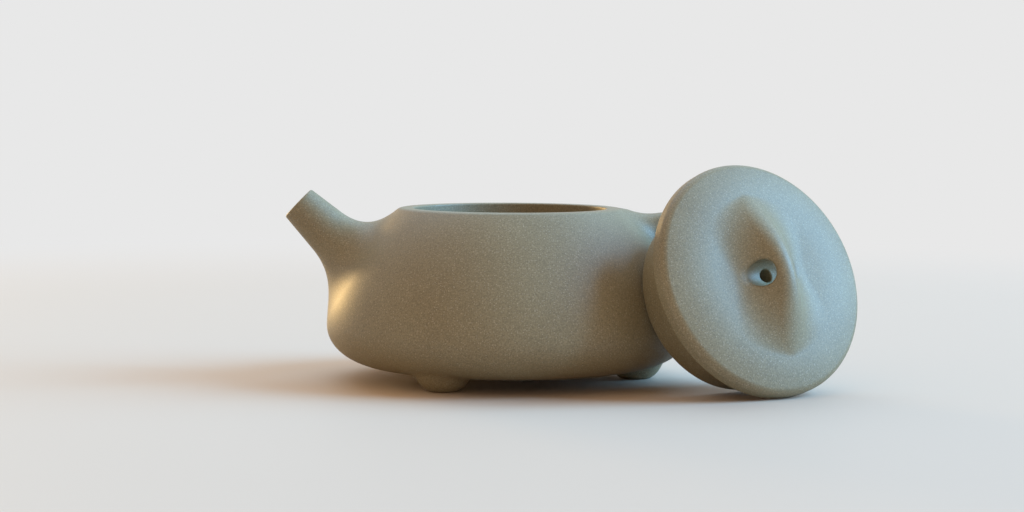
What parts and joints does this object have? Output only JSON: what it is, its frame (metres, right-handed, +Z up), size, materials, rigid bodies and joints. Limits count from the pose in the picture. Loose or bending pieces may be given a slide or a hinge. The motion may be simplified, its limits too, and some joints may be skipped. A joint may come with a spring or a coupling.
{
  "type": "yixing teapot",
  "caption": "Low, wide unglazed stoneware teapot with a short flared spout, triangular handle and nub feet, its bridge-knobbed lid off and leaning on its side.",
  "frame": {"origin": "centre of the plan of pot and leaning lid together, on the surface they stand on", "axes": "+Z up, +X from the spout to the handle, +Y away from the side that the lid leans on"},
  "size_m": [0.1564, 0.1062, 0.0603],
  "materials": {
    "clay_body": "unglazed, burnished, sandy with fine pale specks",
    "clay_lid": "unglazed, burnished, sandy with fine pale specks"
  },
  "bodies": {
    "pot": {"base_slab": "clay_body", "body_wall": "clay_body", "shoulder_slab": "clay_body", "mouth_ring": "clay_body", "spout": "clay_body", "strainer": "clay_body", "handle": "clay_body", "foot_handle_side": "clay_body", "foot_back_left": "clay_body", "foot_front_left": "clay_body"},
    "lid": {"lid_disc": "clay_lid", "lid_flange": "clay_lid", "lid_knob": "clay_lid"}
  },
  "joints": [
    {"name": "lid_lift", "type": "slide", "parent": "pot", "child": "lid", "axis": [0.5007, -0.7815, 0.3722], "range_m": [0, 0.06]}
  ]
}
